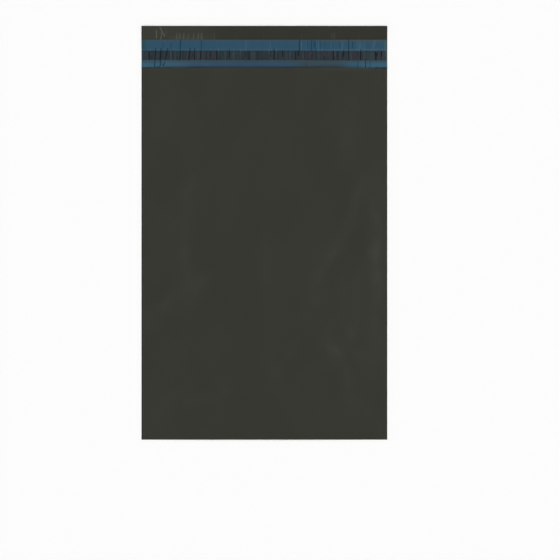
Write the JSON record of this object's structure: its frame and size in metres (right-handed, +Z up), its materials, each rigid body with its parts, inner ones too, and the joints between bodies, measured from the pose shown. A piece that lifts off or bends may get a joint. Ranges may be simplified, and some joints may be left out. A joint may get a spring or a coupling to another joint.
{
  "type": "poly mailer bag",
  "caption": "Flat black plastic mailer bag: one folded film with welded sides, an open mouth and a long flap that carries a glue line under a blue release liner.",
  "frame": {"origin": "under the middle of the bag, flap included, on the surface that the bag lies on", "axes": "+Y along the bag from the bottom fold to the flap, +X to the right seen from above, +Z up out of the front panel"},
  "size_m": [0.25, 0.421, 0.0066],
  "materials": {
    "film": "co-extruded polyethylene film, soft satin, black",
    "glue": "tacky hot-melt glue, pressed smooth under the liner",
    "liner": "thin siliconised release film, blue, slightly puckered"
  },
  "bodies": {
    "root": {"bag_film": "film", "glue_line": "glue", "release_liner": "liner"}
  },
  "joints": []
}
